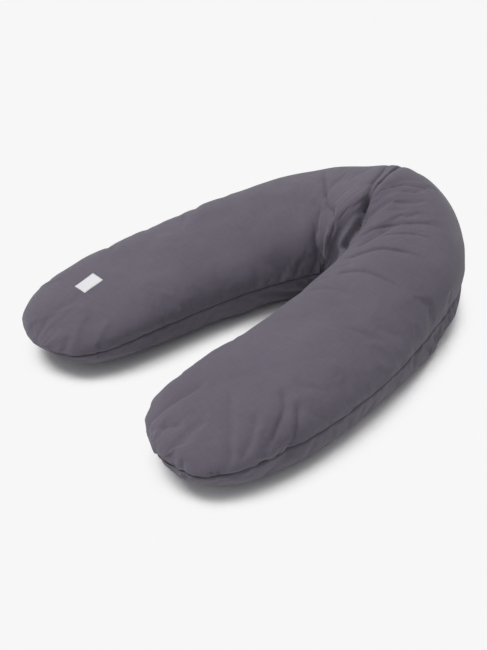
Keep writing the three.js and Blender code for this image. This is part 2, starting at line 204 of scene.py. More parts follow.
def surface(distances, angles, apex_y, bend_share=1.0):
    """Points at signed distances along and angles round the section, arrays that broadcast together."""
    distance = np.abs(distances)
    x, y, heading = centreline(distance, bend_share)
    into_tip = ramp(distance, HALF_LENGTH - TIP_LENGTH, HALF_LENGTH)
    plan_scale = np.maximum(1.0 - into_tip**TIP_PLAN_POWER, 0.0) ** (1.0 / TIP_PLAN_ROOT)
    side_scale = np.sqrt(np.maximum(1.0 - into_tip**TIP_SIDE_POWER, 0.0))
    across = PILLOW_WIDTH / 2 * plan_scale * fuller(np.cos(angles))
    seam = seam_height(distance)
    lift = fuller(np.sin(angles)) * side_scale
    reach = np.where(lift >= 0.0, top_height(distance) - seam, seam * BOTTOM_FULLNESS)
    z = np.maximum(seam + lift * reach, 0.0)
    side = np.where(distances < 0.0, -1.0, 1.0)
    found_x = side * (x + np.sin(heading) * across)
    found_y = apex_y + y + np.cos(heading) * across
    return np.stack([found_x, found_y, z], axis=-1)


def measured_section():
    """Angles, and the arc length to each, over the upper half of an arm's section."""
    angles = np.linspace(0.0, math.pi, 2001)
    across = PILLOW_WIDTH / 2 * fuller(np.cos(angles))
    up = SEAM_HEIGHT_ARM * fuller(np.sin(angles))
    steps = np.hypot(np.diff(across), np.diff(up))
    return angles, np.concatenate([[0.0], np.cumsum(steps)])


ARC_ANGLES, ARC_LENGTHS = measured_section()
PANEL_ARC = float(ARC_LENGTHS[-1])


def angle_at(arc):
    """Angle round the section at an arc length from the outer seam; negative arcs run down."""
    return np.sign(arc) * np.interp(np.abs(arc), ARC_LENGTHS, ARC_ANGLES)


def spaced_rows(bend_step, arm_step):
    """Signed distances of rows that are evenly spaced on the surface itself, even at the blunt tips."""
    near_tip = 0.1
    body = np.linspace(0.0, HALF_LENGTH - near_tip, 3000)
    tip = HALF_LENGTH - near_tip * np.linspace(0.0, 1.0, 3001)[:0:-1] ** 3
    distances = np.concatenate([body, tip, [HALF_LENGTH]])
    lines = surface(distances[:, None], np.radians([0.0, 90.0, 180.0, 270.0])[None, :], 0.0)
    gaps = np.linalg.norm(np.diff(lines, axis=0), axis=-1).max(axis=1)
    middles = (distances[:-1] + distances[1:]) / 2
    steps = mix(bend_step, arm_step, smooth_ramp(middles, 0.25, 0.40))
    counted = np.concatenate([[0.0], np.cumsum(gaps / steps)])
    count = round(counted[-1])
    half = np.interp(np.linspace(0.0, counted[-1], count + 1), counted, distances)
    return np.concatenate([-half[:0:-1], half])


def panel_columns():
    """Arc lengths of a panel's columns, closer together beside its two seams."""
    edge = np.array(SEAM_COLUMNS)
    inside = PANEL_ARC - 2 * edge[-1]
    middle = edge[-1] + inside * np.linspace(0.0, 1.0, round(inside / COLUMN_STEP) + 1)
    return np.concatenate([edge[:-1], middle, PANEL_ARC - edge[-2::-1]])


# ---------------------------------------------------------------- grid tools


def unit(vectors):
    return vectors / (np.linalg.norm(vectors, axis=-1, keepdims=True) + 1e-12)


def outward_normals(points):
    """Unit normals of a grid of points, rows along the pillow, facing away from each row's middle."""
    along = np.gradient(points, axis=0)
    across = np.gradient(points, axis=1)
    normals = unit(np.cross(across, along))
    middles = points.mean(axis=1, keepdims=True)
    normals *= np.sign(np.sum((points - middles) * normals))
    for tip, inner in ((0, 1), (-1, -2)):
        normals[tip] = unit(normals[inner].mean(axis=0))
    return normals


def cubic_sample(values, positions, wraps=False):
    """Catmull-Rom samples of an array's first axis at fractional positions."""
    count = len(values)
    base = np.floor(positions).astype(int)
    share = (positions - base).reshape((-1,) + (1,) * (values.ndim - 1))
    picked = []
    for offset in (-1, 0, 1, 2):
        index = base + offset
        picked.append(values[index % count if wraps else np.clip(index, 0, count - 1)])
    before, start, end, after = picked
    slope_in = (end - before) / 2
    slope_out = (after - start) / 2
    square, cube = share**2, share**3
    return (
        (2 * cube - 3 * square + 1) * start
        + (cube - 2 * square + share) * slope_in
        + (3 * square - 2 * cube) * end
        + (cube - square) * slope_out
    )


def blurred(values, row_sigma, column_sigma, wraps):
    """Gaussian blur of a grid, with its widths in grid steps."""
    out = values
    for axis, sigma, closed in ((0, row_sigma, False), (1, column_sigma, wraps)):
        reach = int(math.ceil(3 * sigma))
        offsets = np.arange(-reach, reach + 1)
        weights = np.exp(-0.5 * (offsets / sigma) ** 2)
        weights /= weights.sum()
        count = out.shape[axis]
        total = np.zeros_like(out)
        for offset, weight in zip(offsets, weights):
            index = np.arange(count) + offset
            index = index % count if closed else np.clip(index, 0, count - 1)
            total += weight * np.take(out, index, axis=axis)
        out = total
    return out


def wavy(distances, wavelength):
    """Smooth random curve of about unit height along a line of distances."""
    knots = RANDOM.standard_normal(int(2.4 * HALF_LENGTH / wavelength * 2) + 8)
    positions = (distances + 1.1 * HALF_LENGTH) / (wavelength / 2) + 2
    return cubic_sample(knots, positions)


def quads(row_count, column_count, closed=False):
    """Faces of a grid of points; closed joins its last column to its first."""
    rows = np.arange(row_count - 1)[:, None] * column_count
    columns = np.arange(column_count if closed else column_count - 1)[None, :]
    following = (columns + 1) % column_count
    faces = [rows + columns, rows + following, rows + column_count + following, rows + column_count + columns]
    return np.stack(faces, axis=-1).reshape(-1, 4)


# ---------------------------------------------------------------- meshes and objects


def add_object(name, points, faces, uvs=None):
    mesh = bpy.data.meshes.new(name)
    mesh.from_pydata(np.asarray(points).tolist(), [], np.asarray(faces).tolist())
    if uvs is not None:
        corners = np.empty(len(mesh.loops), dtype=np.int32)
        mesh.loops.foreach_get("vertex_index", corners)
        mesh.uv_layers.new(name="cloth").data.foreach_set("uv", np.asarray(uvs)[corners].ravel())
    mesh.update()
    mesh.shade_smooth()
    thing = bpy.data.objects.new(name, mesh)
    bpy.context.scene.collection.objects.link(thing)
    return thing


def add_sheet(name, points, normals, thickness, uvs):
    """A grid given thickness inwards, closed along all its edges."""
    row_count, column_count = points.shape[:2]
    size = row_count * column_count
    outer = quads(row_count, column_count)
    inner = outer[:, ::-1] + size
    left = np.arange(row_count) * column_count
    right = left + column_count - 1
    top = np.arange(column_count)
    bottom = top + size - column_count
    rims = []
    for edge in (left, right[::-1], top[::-1], bottom):
        rims.append(np.stack([edge[:-1], edge[1:], edge[1:] + size, edge[:-1] + size], axis=-1))
    both = np.concatenate([points.reshape(-1, 3), (points - thickness * normals).reshape(-1, 3)])
    flat_uvs = uvs.reshape(-1, 2)
    faces = np.concatenate([outer, inner] + rims)
    sheet = add_object(name, both, faces, np.concatenate([flat_uvs, flat_uvs]))
    tidy_normals(sheet)
    return sheet


def tidy_normals(thing):
    """Makes all faces of a closed mesh face outwards."""
    work = bmesh.new()
    work.from_mesh(thing.data)
    bmesh.ops.recalc_face_normals(work, faces=work.faces)
    work.to_mesh(thing.data)
    work.free()


def add_wires(name, runs, radius):
    """Round wires along lists of points, as one mesh."""
    data = bpy.data.curves.new(name, "CURVE")
    data.dimensions = "3D"
    data.bevel_depth = radius
    data.bevel_resolution = 1
    data.use_fill_caps = True
    for run in runs:
        spline = data.splines.new("POLY")
        spline.points.add(len(run) - 1)
        spline.points.foreach_set("co", np.concatenate([run, np.ones((len(run), 1))], axis=1).ravel())
    curve = bpy.data.objects.new(name, data)
    bpy.context.scene.collection.objects.link(curve)
    bpy.context.view_layer.update()
    mesh = bpy.data.meshes.new_from_object(curve.evaluated_get(bpy.context.evaluated_depsgraph_get()))
    bpy.data.objects.remove(curve)
    mesh.shade_smooth()
    thing = bpy.data.objects.new(name, mesh)
    bpy.context.scene.collection.objects.link(thing)
    return thing


# ---------------------------------------------------------------- loose cloth, by simulation

# The cloth starts slightly uneven, so that it buckles. Of its movement, only what is finer than the blur,
# in rows and columns, is kept.
CLOTH_UNEVENNESS = 0.0015
CLOTH_FRAMES = 24
DRIFT_BLUR = (9.0, 7.0)


def simulated_drift(apex_y):
    """The blown-up cloth's rows, and how far it moves from the plain surface over a closed ring."""
    rows = spaced_rows(CLOTH_STEP, CLOTH_STEP)[1:-1]
    arcs = np.linspace(0.0, PANEL_ARC, CLOTH_COLUMNS + 1)
    ring = np.concatenate([angle_at(arcs)[:-1], 2 * math.pi - angle_at(arcs)[:0:-1]])
    count = len(ring)
    start = surface(rows[:, None], ring[None, :], apex_y)
    pattern = surface(rows[:, None], ring[None, :], apex_y, PATTERN_BEND_SHARE)
    noise = blurred(RANDOM.standard_normal((len(rows), count)), 1.5, 1.5, wraps=True)
    middles = start.mean(axis=1, keepdims=True)
    start += CLOTH_UNEVENNESS * noise[..., None] * unit(start - middles)
    caps = [list(range(count))[::-1], list(range(count * (len(rows) - 1), count * len(rows)))]
    faces = quads(len(rows), count, closed=True).tolist() + caps
    mesh = bpy.data.meshes.new("cloth")
    mesh.from_pydata(start.reshape(-1, 3).tolist(), [], faces)
    cloth = bpy.data.objects.new("cloth", mesh)
    bpy.context.scene.collection.objects.link(cloth)
    tidy_normals(cloth)
    cloth.shape_key_add(name="Basis")
    cut = cloth.shape_key_add(name="pattern")
    cut.data.foreach_set("co", pattern.ravel())
    seams = cloth.vertex_groups.new(name="seams")
    floor = cloth.vertex_groups.new(name="floor")
    for column, angle in enumerate(ring):
        members = list(range(column, count * len(rows), count))
        if column in (0, CLOTH_COLUMNS):
            seams.add(members, 1.0, "REPLACE")
        if math.radians(225) < angle < math.radians(315):
            floor.add(members, 1.0, "REPLACE")
    modifier = cloth.modifiers.new("cloth", "CLOTH")
    settings = modifier.settings
    settings.quality = 6
    settings.mass = 0.2
    settings.tension_stiffness = 20
    settings.compression_stiffness = 20
    settings.shear_stiffness = 8
    settings.bending_stiffness = 0.2
    settings.air_damping = 2
    settings.use_pressure = True
    settings.uniform_pressure_force = 4
    settings.rest_shape_key = cut
    settings.vertex_group_shrink = "seams"
    settings.shrink_min = -0.012
    settings.shrink_max = 0.035
    settings.vertex_group_mass = "floor"
    settings.effector_weights.gravity = 0
    modifier.point_cache.frame_end = 30
    scene = bpy.context.scene
    for frame in range(1, CLOTH_FRAMES + 1):
        scene.frame_set(frame)
    result = cloth.evaluated_get(bpy.context.evaluated_depsgraph_get())
    moved = np.empty(len(mesh.vertices) * 3)
    result.data.vertices.foreach_get("co", moved)
    bpy.data.objects.remove(cloth)
    scene.frame_set(1)
    drift = moved.reshape(start.shape) - start
    drift -= blurred(drift, *DRIFT_BLUR, wraps=True)
    size = np.linalg.norm(drift, axis=-1, keepdims=True)
    drift *= np.minimum(1.0, DRIFT_LIMIT / (size + 1e-9))
    return rows, drift * kept_drift(rows)[:, None, None]


def kept_drift(rows):
    """Share of the movement kept at each row: less on the arms and in the bend's crease."""
    away = np.abs(rows)
    kept = mix(1.0, 0.6, smooth_ramp(away, 0.25, 0.45))
    kept *= np.where(rows < 0.0, mix(1.0, 0.6, smooth_ramp(away, 0.62, 0.74)), 1.0)
    kept *= mix(0.4, 1.0, smooth_ramp(np.abs(rows + 0.06), 0.05, 0.14))
    return kept * ramp(HALF_LENGTH - away, 0.0, 0.006)


def drift_on(panel_rows, panel_arcs, side, cloth_rows, drift):
    """The simulated movement, read off on a panel's grid and kept away from the zip."""
    positions = np.interp(panel_rows, cloth_rows, np.arange(len(cloth_rows)))
    along = cubic_sample(drift, positions)
    ring = panel_arcs / PANEL_ARC * CLOTH_COLUMNS
    if side < 0:
        ring = 2 * CLOTH_COLUMNS - ring
    moved = np.swapaxes(cubic_sample(np.swapaxes(along, 0, 1), ring, wraps=True), 0, 1)
    return moved * away_from_zip(panel_rows, panel_arcs)[..., None]


def away_from_zip(rows, arcs):
    """0 beside the zip and 1 away from it."""
    beside = smooth_ramp(-rows, ZIP_START - 0.06, ZIP_START - 0.01)
    beside *= smooth_ramp(rows, -ZIP_END - 0.06, -ZIP_END - 0.01)
    close = 1.0 - smooth_ramp(arcs, 0.022, 0.055)
    return 1.0 - beside[:, None] * close[None, :]


# ---------------------------------------------------------------- folds in the cover

# Each fold is a valley along a path of (distance, angle) points: millimetres along the pillow, negative on
# the left arm, and degrees round the section from the outer seam. Then its depth in millimetres, its width
# on either side of the path, and its shape: 1 is a sharp crease and 2 a soft valley. A negative depth is a
# ridge.
FOLDS = (
    # the deep double crease over the middle of the bend
    ([(-22, 64), (-12, 78), (-2, 88), (22, 99), (57, 111), (112, 118), (190, 128)], 6.0, 20, 6, 1.3),
    ([(-37, 50), (-16, 84), (6, 94), (42, 104), (74, 116), (143, 123), (199, 130)], 10.0, 5, 3, 1.0),
    ([(-19, 42), (-4, 79), (22, 95), (57, 108), (112, 114), (168, 121)], 12.0, 3, 5, 1.0),
    # the edge of the right arm, which overhangs the crotch
    (
        [(20, 99), (50, 109), (87, 115), (125, 124), (162, 132), (200, 142), (245, 148), (290, 152)],
        *(18.0, 3, 34, 1.3),
    ),
    # folds that run from the crotch over the right arm
    ([(33, 92), (31, 86), (34, 76), (39, 62)], 2.0, 6, 7, 1.6),
    ([(41, 90), (43, 82), (51, 74), (58, 60)], 4.4, 4, 10, 1.1),
    ([(74, 102), (56, 93), (49, 86)], 2.5, 9, 9, 1.8),
    ([(185, 118), (160, 108), (146, 98), (138, 88), (132, 72), (130, 56)], 6.0, 15, 5, 1.2),
    ([(218, 114), (196, 107), (179, 101), (158, 96), (146, 88)], 6.0, 14, 4, 1.1),
    ([(177, 98), (167, 90), (161, 82), (158, 64)], 3.4, 8, 3, 1.1),
    ([(256, 120), (238, 106), (221, 97), (210, 90), (203, 80), (198, 60)], 7.4, 14, 4, 1.05),
    ([(300, 124), (279, 113), (261, 104)], 2.4, 8, 4, 1.2),
    ([(304, 112), (288, 99), (283, 88), (286, 64)], 5.6, 13, 4, 1.1),
    ([(368, 147), (363, 123), (353, 108), (346, 86)], 3.6, 12, 5, 1.2),
    ([(338, 140), (322, 124), (313, 110)], 1.8, 8, 7, 1.5),
    # creases on the left side of the crotch
    ([(-133, 72), (-131, 97), (-118, 120), (-60, 134), (18, 147), (64, 159), (90, 171)], 8.0, 7, 4, 1.1),
    ([(-77, 124), (-40, 146), (-24, 160)], 5.0, 5, 9, 1.1),
    (
        [(-148, 110), (-168, 124), (-190, 135), (-200, 144), (-201, 156), (-195, 166), (-186, 178)],
        *(11.0, 10, 8, 1.1),
    ),
    # tip of the right arm
    ([(852, 156), (832, 126), (800, 113), (750, 106), (706, 105)], 7.5, 7, 12, 1.0),
    ([(852, 140), (836, 104), (817, 93), (800, 89)], 5.0, 6, 10, 1.2),
    ([(690, 92), (718, 82), (739, 67), (759, 50), (776, 24), (792, 2)], 6.4, 15, 6, 1.2),
    ([(690, 68), (713, 53), (733, 40), (751, 28), (768, 8)], 6.4, 13, 6, 1.2),
    ([(626, 74), (645, 58), (673, 45), (693, 34), (716, 14)], 9.0, 7, 15, 1.15),
    ([(622, 56), (640, 38), (656, 22), (672, 4), (684, -12)], 10.0, 6, 15, 1.1),
    ([(836, 52), (842, 22), (840, -8), (834, -14)], 5.5, 4, 5, 1.1),
    ([(797, 12), (800, -9)], 4.2, 3, 3, 1.1),
    ([(806, 13), (809, -8)], 3.6, 3, 3, 1.1),
    ([(853, 14), (842, 21)], 2.0, 4, 4, 1.4),
    # tip of the left arm
    ([(-849, 48), (-822, 80), (-792, 90), (-762, 91)], -1.8, 4, 7, 1.3),
    ([(-764, 24), (-746, 46), (-722, 57)], -1.4, 4, 7, 1.4),
    ([(-832, 142), (-807, 120), (-786, 111), (-762, 106)], -2.4, 7, 9, 1.6),
    ([(-806, 164), (-783, 144), (-761, 134), (-736, 127)], -2.6, 7, 9, 1.6),
    ([(-800, 190), (-797, 172), (-788, 152)], 3.6, 5, 6, 1.4),
    ([(-850, 168), (-838, 134), (-822, 118)], 2.8, 7, 7, 1.5),
    ([(-774, 190), (-766, 172)], 2.6, 4, 5, 1.4),
)

# Soft swellings and hollows of the stuffing: centre (mm, degrees), height in mm, and size (mm, degrees).
SWELLINGS = (
    ((50, 45), 12.0, (60, 45)),
    ((18, 90), 7.0, (26, 30)),
    ((-75, 75), -11.0, (70, 45)),
    ((-375, 60), 16.0, (90, 40)),
    ((-14, 62), 14.0, (38, 30)),
    ((-170, 58), -9.5, (55, 40)),
    ((-700, 50), -4.5, (55, 40)),
    ((-815, 60), 3.0, (25, 40)),
    ((205, 162), -26.0, (75, 23)),
    ((110, 150), -8.0, (50, 26)),
    ((-20, 140), 10.0, (50, 30)),
    ((395, 135), 8.0, (60, 35)),
    ((800, 150), 7.0, (70, 60)),
    ((845, 100), 5.0, (30, 90)),
    ((-830, 60), 5.0, (60, 70)),
    ((-690, 225), -9.0, (130, 40)),
)


def fold_path(marks, apex_y):
    """Points on the plain surface along a smooth curve through a fold's marks."""
    points = np.array(marks, float)
    steps = cubic_sample(points, np.linspace(0.0, len(points) - 1.001, 12 * (len(points) - 1) + 1))
    return surface(steps[:, 0] / 1000.0, np.radians(steps[:, 1]), apex_y)


def fold_offsets(points, normals, apex_y):
    """How far every grid point moves out along its normal because of the folds."""
    offsets = np.zeros(points.shape[:2])
    for marks, depth, before, after, shape in FOLDS:
        path = fold_path(marks, apex_y)
        reach = 3.2 * max(before, after) / 1000.0
        near = np.all((points > path.min(axis=0) - reach) & (points < path.max(axis=0) + reach), axis=-1)
        spots, facing = points[near], normals[near]
        starts, spans = path[:-1], np.diff(path, axis=0)
        share = np.einsum("nkd,kd->nk", spots[:, None] - starts, spans) / np.sum(spans**2, axis=-1)
        share = np.clip(share, 0.0, 1.0)
        gaps = spots[:, None] - (starts + share[..., None] * spans)
        lengths = np.linalg.norm(gaps, axis=-1)
        nearest = lengths.argmin(axis=1)
        pick = np.arange(len(spots))
        side = np.sum(np.cross(spans[nearest], facing) * gaps[pick, nearest], axis=-1)
        width = np.where(side > 0.0, before, after) / 1000.0
        profile = np.exp(-((lengths[pick, nearest] / width) ** shape))
        along = (nearest + share[pick, nearest]) / len(spans)
        ends = smooth_ramp(along, 0.0, 0.16) * smooth_ramp(1.0 - along, 0.0, 0.3)
        offsets[near] -= depth / 1000.0 * profile * ends
    return offsets


def swelling_offsets(rows, angles):
    """How far every grid point moves out along its normal because of the stuffing."""
    offsets = np.zeros(angles.shape)
    for (distance, angle), height, (length, width) in SWELLINGS:
        along = (rows[:, None] * 1000.0 - distance) / length
        around = ((np.degrees(angles) - angle + 180.0) % 360.0 - 180.0) / width
        offsets += height / 1000.0 * np.exp(-(along**2) - around**2)
    return offsets


def seam_offsets(points, rows):
    """The groove where the two panels meet, and the small puckers that its stitches pull in beside it."""
    steps = np.linalg.norm(np.diff(points, axis=1), axis=-1)
    from_outer = np.concatenate([np.zeros((len(rows), 1)), np.cumsum(steps, axis=1)], axis=1)
    from_inner = from_outer[:, -1:] - from_outer
    away = np.minimum(from_outer, from_inner)
    groove = -SEAM_GROOVE_DEPTH * np.exp(-((away / SEAM_GROOVE_WIDTH) ** 2))
    roll = 0.0007 * np.exp(-(((away - 0.006) / 0.004) ** 2))
    gathered = ramp(np.abs(rows), 0.60, 0.74) + 0.8 * (1.0 - ramp(np.abs(rows), 0.10, 0.26))
    puckers = np.zeros_like(away)
    for distance in (from_outer, from_inner):
        for wavelength, height, reach in ((0.021, 0.0006, 0.012), (0.040, 0.0008, 0.026)):
            wave = wavy(rows, wavelength) * height * (0.55 + 0.9 * gathered)
            puckers += wave[:, None] * np.exp(-((distance / reach) ** 1.3))
    small_end = ramp(from_outer[:, -1:], 0.0, 0.06)
    return (groove + roll + puckers) * small_end


def lumps(rows, arcs):
    """Gentle unevenness of the loose filling under the cloth."""
    total = np.zeros((len(rows), len(arcs)))
    for wavelength, height in ((0.13, 0.0011), (0.055, 0.0004)):
        count_rows = int(2.2 * HALF_LENGTH / wavelength * 2) + 8
        count_columns = int(1.1 * PANEL_ARC / wavelength * 2) + 8
        knots = RANDOM.standard_normal((count_rows, count_columns))
        along = cubic_sample(knots, (rows + HALF_LENGTH) / wavelength * 2 + 2)
        across = cubic_sample(along.T, arcs / wavelength * 2 + 2).T
        total += height * across
    return total


# ---------------------------------------------------------------- the cover's panels


class Panel:
    """One panel of the cover as a finished grid: side +1 is the upper one and -1 the lower one."""

    def __init__(self, side, rows, arcs, apex_y, drift):
        self.rows, self.arcs = rows, arcs
        opened = ZIP_OPENING_HALF * smooth_ramp(-rows, ZIP_START - ZIP_TAPER, ZIP_START + ZIP_TAPER)
        opened *= smooth_ramp(rows, -ZIP_END - ZIP_TAPER, -ZIP_END + ZIP_TAPER)
        spread = opened[:, None] * (1.0 - ramp(arcs, 0.0, 0.06))[None, :]
        angles = angle_at(side * (arcs[None, :] + spread))
        plain = surface(rows[:, None], angles, apex_y)
        normals = outward_normals(plain)
        guard = away_from_zip(rows, arcs)
        closed = 1.0 - opened[:, None] / ZIP_OPENING_HALF
        offsets = seam_offsets(plain, rows) * np.maximum(guard, closed)
        offsets += fold_offsets(plain, normals, apex_y)
        offsets += (swelling_offsets(rows, angles) + lumps(rows, arcs) * edge_fade(arcs)) * guard
        moved = plain + offsets[..., None] * normals
        if drift is not None:
            moved += drift_on(rows, arcs, side, *drift)
        moved[..., 2] = np.maximum(moved[..., 2], 0.0)
        for tip, inner in ((0, 1), (-1, -2)):
            moved[tip] = moved[inner].mean(axis=0)
        self.points = moved
        self.normals = outward_normals(moved)
        self.uvs = np.stack(np.broadcast_arrays(rows[:, None], side * arcs[None, :]), axis=-1)

    def at(self, distances, arcs):
        """Points and normals at signed distances and arc lengths, arrays of one shape."""
        row = np.interp(distances, self.rows, np.arange(len(self.rows)))
        column = np.interp(arcs, self.arcs, np.arange(len(self.arcs)))
        low_row = np.minimum(row.astype(int), len(self.rows) - 2)
        low_column = np.minimum(column.astype(int), len(self.arcs) - 2)
        down = (row - low_row)[..., None]
        over = (column - low_column)[..., None]
        found = []
        for grid in (self.points, self.normals):
            first = mix(grid[low_row, low_column], grid[low_row, low_column + 1], over)
            second = mix(grid[low_row + 1, low_column], grid[low_row + 1, low_column + 1], over)
            found.append(mix(first, second, down))
        return found[0], unit(found[1])

    def stretch(self, distance, arc):
        """Real length on the cover for each unit of distance and of arc length, near a point."""
        reach = 0.012
        ends, _ = self.at(distance + np.array([-reach, reach]), np.full(2, arc))
        sides, _ = self.at(np.full(2, distance), np.maximum(arc + np.array([-reach, reach]), 0.0))
        covered = min(2 * reach, arc + reach)
        return np.linalg.norm(ends[1] - ends[0]) / (2 * reach), np.linalg.norm(sides[1] - sides[0]) / covered


def edge_fade(arcs):
    """0 at both seams of a panel and 1 away from them."""
    return np.minimum(ramp(arcs, 0.0, 0.03), ramp(PANEL_ARC - arcs, 0.0, 0.03))[None, :]


def make_cover(panels):
    pieces = {}
    for name, panel in panels.items():
        piece = add_sheet(f"cover_{name}", panel.points, panel.normals, COVER_THICKNESS, panel.uvs)
        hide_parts(f"cover_{name}_left", f"cover_{name}_right")
        spread_over_bend(piece)
        pieces[name] = piece
    return pieces


def spread_over_bend(piece):
    """Bakes the piece's placement into its mesh."""
    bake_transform(piece)


# ---------------------------------------------------------------- casing and filling

# Which rows and columns of the cover the inner layers use, and their lowest heights. They stop this many
# times their depth short of the tips.
CASING_EVERY = 3
CASING_LOWEST = 0.0018
FILLING_EVERY = 5
FILLING_LOWEST = 0.0032
TIP_DEPTHS = 1.6

# They keep inside the lowest fold in a window of rows and columns, along blurred normals. Near the inner
# seam of the bend, where the folds are deepest, they lie deeper still.
FOLD_WINDOW = (14, 8)
NORMAL_BLUR = (9.0, 5.0)
BEND_EXTRA_DEPTH = 0.012
BEND_EXTRA_REACH = 0.3


def lowest_near(values, row_reach, column_reach):
    """The lowest value in a window round each grid point."""
    out = values
    for axis, reach in ((0, row_reach), (1, column_reach)):
        last = out.shape[axis] - 1
        steps = range(-reach, reach + 1)
        windows = [np.take(out, np.clip(np.arange(last + 1) + step, 0, last), axis) for step in steps]
        out = np.min(windows, axis=0)
    return out


def inner_layer(panel, depth, every, lowest):
    """A calmer copy of a panel, thinned out, and everywhere at least a depth inside the cover's folds."""
    beside_seams = np.minimum(ramp(panel.arcs, 0.0, 0.05), ramp(PANEL_ARC - panel.arcs, 0.0, 0.05))
    along = blurred(panel.points, 5.0, 0.3, wraps=False)
    calm = mix(along, blurred(along, 0.3, 3.0, wraps=False), beside_seams[None, :, None])
    normals = unit(blurred(outward_normals(calm), *NORMAL_BLUR, wraps=False))
    hollows = lowest_near(np.sum((panel.points - calm) * normals, axis=-1), *FOLD_WINDOW)
    by_bend = np.exp(-((panel.rows / BEND_EXTRA_REACH) ** 2))[:, None]
    hollows -= BEND_EXTRA_DEPTH * by_bend * ramp(panel.arcs, 0.5 * PANEL_ARC, 0.8 * PANEL_ARC)
    hollows = blurred(hollows, 2.0, 2.0, wraps=False)
    moved = calm - normals * (depth - np.minimum(hollows, 0.0))[..., None]
    moved[..., 2] = np.maximum(moved[..., 2], lowest)
    middles = panel.points.mean(axis=1)
    from_tips = [np.linalg.norm(middles - panel.points[tip, 0], axis=-1) for tip in (0, -1)]
    inside = np.flatnonzero(np.min(from_tips, axis=0) > TIP_DEPTHS * depth)
    rows = np.unique(np.r_[inside[::every], inside[-1]])
    columns = np.unique(np.r_[0 : len(panel.arcs) : every, len(panel.arcs) - 1])
    return moved[np.ix_(rows, columns)], panel.uvs[np.ix_(rows, columns)]


def make_casing(panels):
    for name, panel in panels.items():
        points, uvs = inner_layer(panel, CASING_DEPTH, CASING_EVERY, CASING_LOWEST)
        piece = add_sheet(f"casing_{name}", points, outward_normals(points), CASING_THICKNESS, uvs)
        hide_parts(f"casing_{name}_left", f"casing_{name}_right")
        spread_over_bend(piece)
        piece.data.materials.append(casing_cotton())


def make_filling(panels):
    top, _ = inner_layer(panels["top"], FILLING_DEPTH, FILLING_EVERY, FILLING_LOWEST)
    bottom, _ = inner_layer(panels["bottom"], FILLING_DEPTH, FILLING_EVERY, FILLING_LOWEST)
    ring = np.concatenate([top, bottom[:, -2:0:-1]], axis=1)
    tufts = blurred(RANDOM.standard_normal(ring.shape[:2]), 0.8, 0.8, wraps=True)
    ring -= unit(ring - ring.mean(axis=1, keepdims=True)) * (0.002 * np.abs(tufts))[..., None]
    ring[..., 2] = np.maximum(ring[..., 2], FILLING_LOWEST)
    count = ring.shape[1]
    last = count * (len(ring) - 1)
    faces = quads(len(ring), count, closed=True).tolist()
    faces += [list(range(count)), list(range(last, last + count))]
    mesh = bpy.data.meshes.new("filling")
    mesh.from_pydata(ring.reshape(-1, 3).tolist(), [], faces)
    mesh.shade_smooth()
    piece = bpy.data.objects.new("filling", mesh)
    bpy.context.scene.collection.objects.link(piece)
    tidy_normals(piece)
    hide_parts("filling_left", "filling_right")
    spread_over_bend(piece)
    piece.data.materials.append(filling_fibre())


# ---------------------------------------------------------------- zip


def zip_points(distances, heights, depths, apex_y):
    """Points by the zip: along the left arm, up from the seam line and in from the cover's face."""
    small = 1e-4
    at = surface(-distances, angle_at(heights), apex_y)
    ahead = surface(-distances - small, angle_at(heights), apex_y) - at
    above = surface(-distances, angle_at(heights + small), apex_y) - at
    outwards = unit(np.cross(ahead, above))
    outwards *= np.where(outwards[..., :1] > 0.0, -1.0, 1.0)
    return at - outwards * np.asarray(depths)[..., None]


def make_zip_coils(apex_y):
    """Each coil is one nylon wire, wound so that its loops reach between the other coil's loops."""
    turns = (ZIP_COIL_END - ZIP_COIL_START) / ZIP_COIL_PITCH
    steps = np.linspace(0.0, turns, int(turns * 10) + 1)
    low, high = ZIP_COIL_HEIGHTS
    shallow, deep = ZIP_COIL_DEPTHS
    for name, side in (("upper", 1), ("lower", -1)):
        phase = steps + (0.0 if side > 0 else 0.5)
        heights = (high + low) / 2 - (high - low) / 2 * np.cos(2 * math.pi * phase)
        depths = (shallow + deep) / 2 + (deep - shallow) / 2 * np.sin(2 * math.pi * phase)
        wire = zip_points(ZIP_COIL_START + steps * ZIP_COIL_PITCH, side * heights, depths, apex_y)
        coil = add_wires(f"zip_coil_{name}_wound", [wire], ZIP_COIL_WIRE)
        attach(coil, "left_half")
        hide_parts(f"zip_coil_{name}")
        coil.data.materials.append(nylon())


def stitch_run(points, normals, stitch, gap, radius):
    """Short threads that rise out of the cloth and go back in, along a line of points."""
    lengths = np.concatenate([[0.0], np.cumsum(np.linalg.norm(np.diff(points, axis=0), axis=-1))])
    runs = []
    for start in np.arange(gap, lengths[-1] - stitch, stitch + gap):
        spots = start + stitch * np.array([0.0, 0.15, 0.5, 0.85, 1.0])
        line = np.stack([np.interp(spots, lengths, points[:, axis]) for axis in range(3)], axis=-1)
        up = np.stack([np.interp(spots, lengths, normals[:, axis]) for axis in range(3)], axis=-1)
        lift = radius * np.array([-1.5, 0.4, 0.7, 0.4, -1.5])
        runs.append(line + up * lift[:, None])
    return runs


def make_zip_topstitching(panels):
    distances = -np.arange(ZIP_START - 0.004, ZIP_END + 0.004, 0.002)
    runs = []
    for panel in panels.values():
        points, normals = panel.at(distances, np.full(len(distances), 0.0026))
        runs += stitch_run(points, normals, 0.0024, 0.0010, ZIP_THREAD)
    thread = add_wires("zip_topstitching", runs, ZIP_THREAD)
    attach(thread, "left_half")
    thread.data.materials.append(sewing_thread("cover_thread", (0.10, 0.088, 0.115, 1)))


